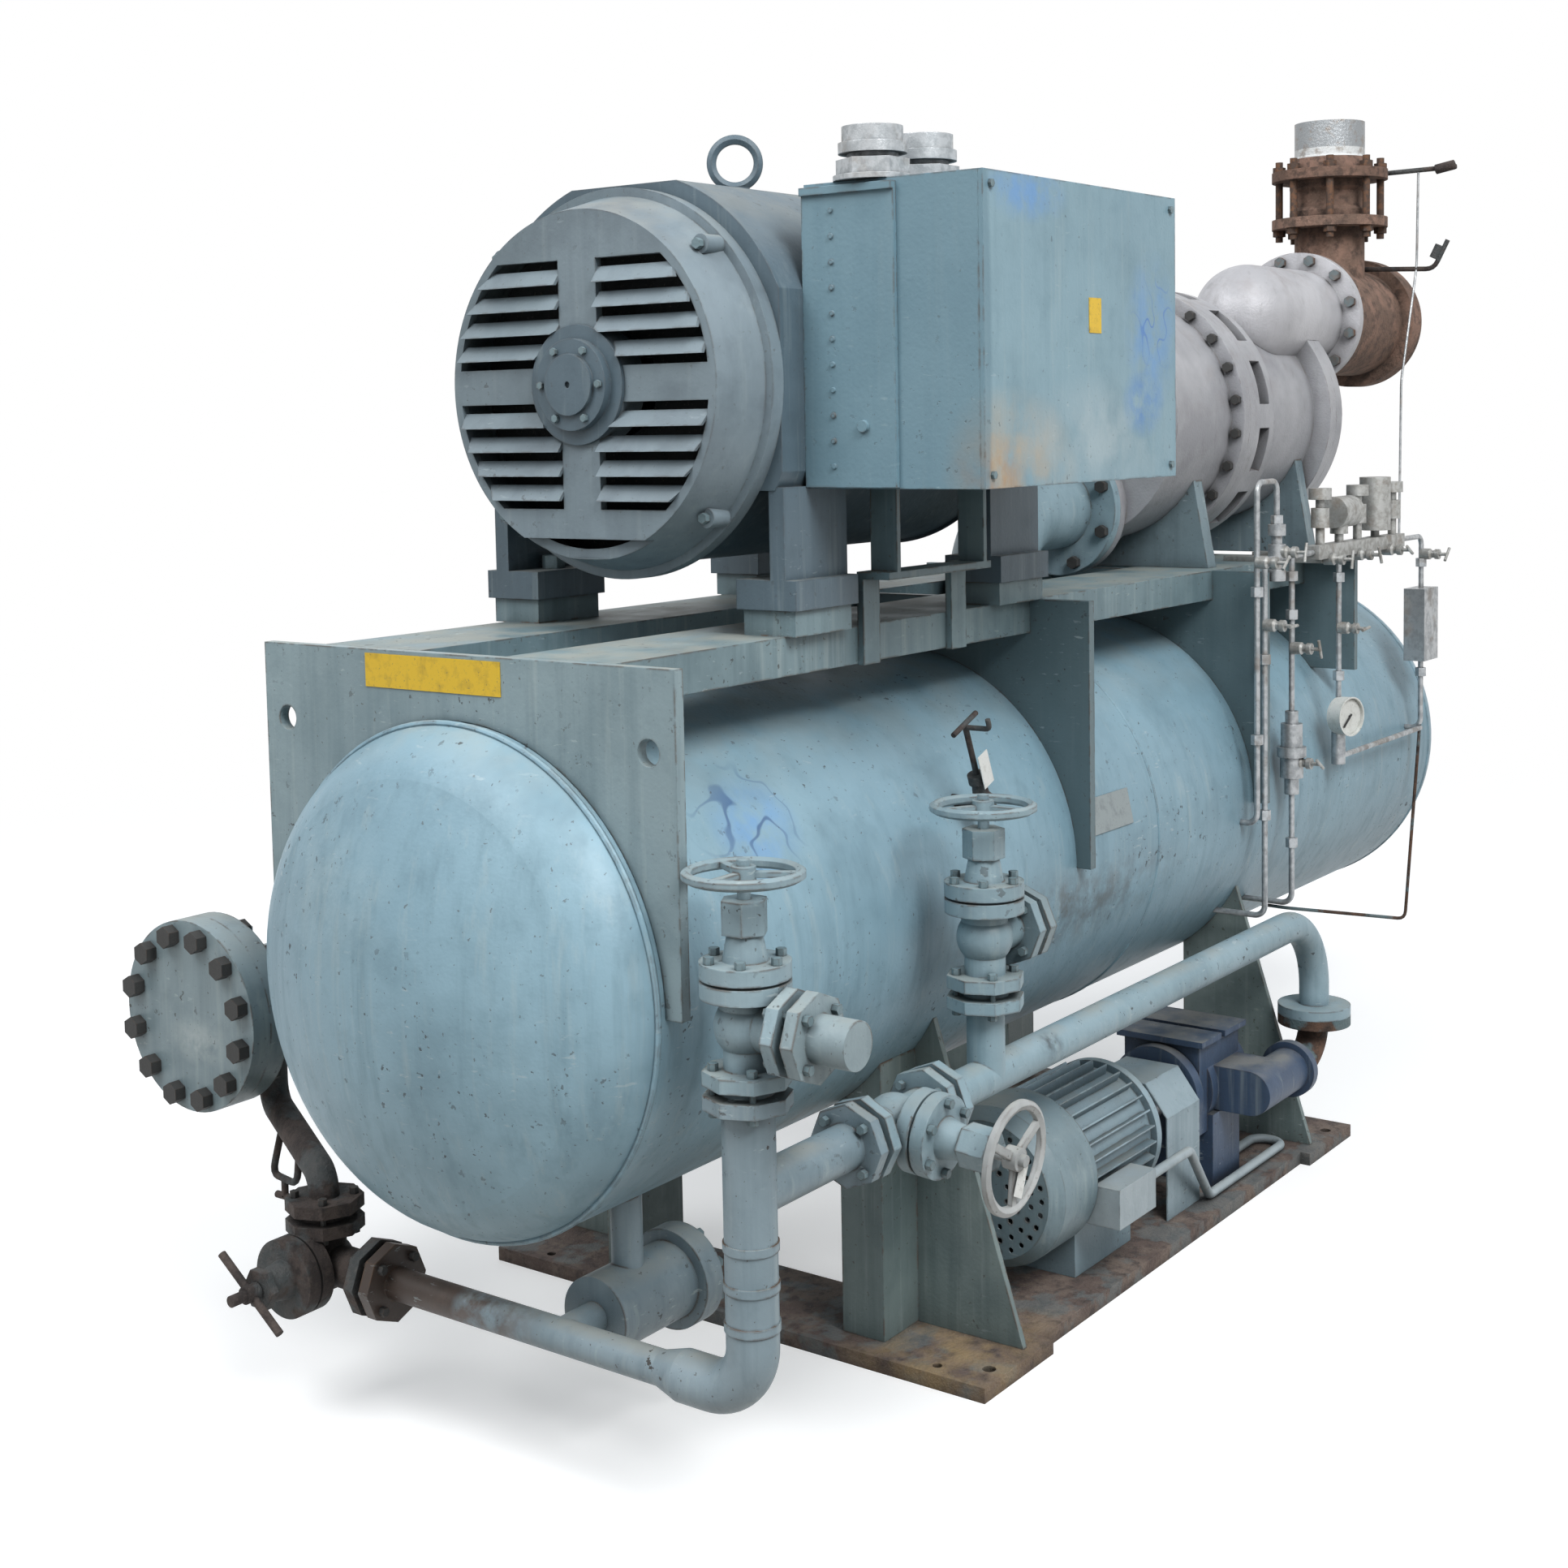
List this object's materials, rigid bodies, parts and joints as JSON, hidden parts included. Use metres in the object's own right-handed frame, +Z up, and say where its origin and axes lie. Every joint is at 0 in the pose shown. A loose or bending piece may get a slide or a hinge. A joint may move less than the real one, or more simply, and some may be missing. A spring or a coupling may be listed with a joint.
{
  "type": "rotary screw compressor package",
  "caption": "Screw compressor package: motor and twin-rotor compressor on rails over a horizontal oil separator, with oil pump, cooler, handwheel valves, suction stub and bolt-down base.",
  "frame": {"origin": "on the floor, at the centre of the four anchor holes of the base", "axes": "+X along the separator from the motor end to the suction end, -Y the operator's side with the terminal box and oil valves, +Z up"},
  "size_m": [3.391, 1.5216, 2.235],
  "materials": {
    "frame_paint": "weathered semi-gloss paint with chips and rust at the edges",
    "motor_paint": "weathered semi-gloss paint",
    "box_paint": "sheet steel with faded paint and rust at the lower edges",
    "base_rust": "worn paint over rust",
    "cast_silver": "aluminium-coloured paint on castings",
    "rusty_iron": "rust",
    "pipe_paint": "weathered semi-gloss paint",
    "dark_iron": "dark rust and grime",
    "pump_blue": "dull blue-violet paint",
    "zinc": "galvanised and plated fittings",
    "gauge_face": "white enamel",
    "pointer_black": "black paint",
    "machined_steel": "machined",
    "core_steel": "varnished core plates"
  },
  "bodies": {
    "package": {"base_plates": "base_rust", "blank_flanges": "frame_paint", "bolts_and_studs": "pipe_paint", "compressor_pedestals": "frame_paint", "conduit_hubs": "zinc", "cooler_feed_pipe": "dark_iron", "coupling_guard": "motor_paint", "coupling_housing": "motor_paint", "discharge_casing": "cast_silver", "discharge_elbow": "pipe_paint", "drain_valve_body": "dark_iron", "gauge_case": "gauge_face", "instrument_manifold": "zinc", "instrument_tubing": "zinc", "motor_bearing_cap": "motor_paint", "motor_eye_bolt": "motor_paint", "motor_frame": "motor_paint", "motor_front_end_bell": "motor_paint", "motor_rear_end_bell": "motor_paint", "motor_stator": "core_steel", "mounting_rails": "frame_paint", "oil_cooler_shell": "frame_paint", "oil_filter": "pipe_paint", "oil_header_pipe": "pipe_paint", "oil_pump_casing": "pump_blue", "oil_riser_pipe": "pipe_paint", "pump_inlet_pipe": "dark_iron", "pump_motor_cowl": "motor_paint", "pump_motor_frame": "motor_paint", "pump_wiring": "box_paint", "rotor_casing": "cast_silver", "saddle_plates": "frame_paint", "separator_vessel": "frame_paint", "shaft_bearings": "machined_steel", "stands": "frame_paint", "stop_check_valve": "rusty_iron", "suction_elbow": "cast_silver", "suction_end_cover": "cast_silver", "suction_strainer": "rusty_iron", "suction_stub": "rusty_iron", "terminal_box": "box_paint", "terminal_box_bracket": "frame_paint", "terminal_box_covers": "box_paint", "valve_1_body": "pipe_paint", "valve_2_body": "pipe_paint", "valve_3_body": "pipe_paint"},
    "drive_line": {"motor_rotor": "machined_steel", "male_rotor": "machined_steel"},
    "female_line": {"female_rotor": "machined_steel"},
    "capacity_slide": {"slide_valve": "machined_steel"},
    "valve_1_lock": {"valve_1_disc": "machined_steel"},
    "valve_1_hand": {"valve_1_wheel": "pipe_paint"},
    "valve_2_lock": {"valve_2_disc": "machined_steel"},
    "valve_2_hand": {"valve_2_wheel": "pipe_paint"},
    "valve_3_lock": {"valve_3_disc": "machined_steel"},
    "valve_3_hand": {"valve_3_wheel": "pipe_paint"},
    "drain_lock": {"drain_valve_disc": "machined_steel"},
    "drain_hand": {"drain_valve_handle": "dark_iron"},
    "pump_line": {"pump_rotor": "machined_steel"},
    "pointer": {"gauge_pointer": "pointer_black"}
  },
  "joints": [
    {"name": "drive_spin", "type": "hinge", "parent": "package", "child": "drive_line", "pos_m": [0, 0, 1.592], "axis": [1, 0, 0], "continuous": true},
    {"name": "female_spin", "type": "hinge", "parent": "package", "child": "female_line", "pos_m": [0.9, 0, 1.452], "axis": [1, 0, 0], "continuous": true},
    {"name": "capacity_shift", "type": "slide", "parent": "package", "child": "capacity_slide", "axis": [1, 0, 0], "range_m": [0, 0.15]},
    {"name": "pump_spin", "type": "hinge", "parent": "package", "child": "pump_line", "pos_m": [0, -0.345, 0.214], "axis": [1, 0, 0], "continuous": true},
    {"name": "valve_1_lift", "type": "slide", "parent": "package", "child": "valve_1_lock", "axis": [0, 0, 1], "range_m": [0, 0.018]},
    {"name": "valve_1_turn", "type": "hinge", "parent": "valve_1_lock", "child": "valve_1_hand", "pos_m": [-1.31, -0.5, 0.735], "axis": [0, 0, 1], "range_deg": [0, 1620]},
    {"name": "valve_2_lift", "type": "slide", "parent": "package", "child": "valve_2_lock", "axis": [0, 0, 1], "range_m": [0, 0.018]},
    {"name": "valve_2_turn", "type": "hinge", "parent": "valve_2_lock", "child": "valve_2_hand", "pos_m": [-0.7, -0.5, 0.728], "axis": [0, 0, 1], "range_deg": [0, 1620]},
    {"name": "valve_3_lift", "type": "slide", "parent": "package", "child": "valve_3_lock", "axis": [0, -0.9976, -0.0698], "range_m": [0, 0.018]},
    {"name": "valve_3_turn", "type": "hinge", "parent": "valve_3_lock", "child": "valve_3_hand", "pos_m": [-0.962, -0.5, 0.505], "axis": [0, -0.9976, -0.0698], "range_deg": [0, 1620]},
    {"name": "drain_lift", "type": "slide", "parent": "package", "child": "drain_lock", "axis": [-1, 0, 0], "range_m": [0, 0.018]},
    {"name": "drain_turn", "type": "hinge", "parent": "drain_lock", "child": "drain_hand", "pos_m": [-1.31, 0.345, 0.225], "axis": [-1, 0, 0], "range_deg": [0, 1620]},
    {"name": "gauge_sweep", "type": "hinge", "parent": "package", "child": "pointer", "pos_m": [0.939, -0.415, 0.868], "axis": [0.2707, 0.9627, 0], "range_deg": [0, 270]}
  ],
  "couplings": [
    {"joint": "female_spin", "follows": "drive_spin", "ratio": -0.66667},
    {"joint": "valve_1_lift", "follows": "valve_1_turn", "m_per_rad": 0.00063662},
    {"joint": "valve_2_lift", "follows": "valve_2_turn", "m_per_rad": 0.00063662},
    {"joint": "valve_3_lift", "follows": "valve_3_turn", "m_per_rad": 0.00063662},
    {"joint": "drain_lift", "follows": "drain_turn", "m_per_rad": 0.00063662}
  ]
}
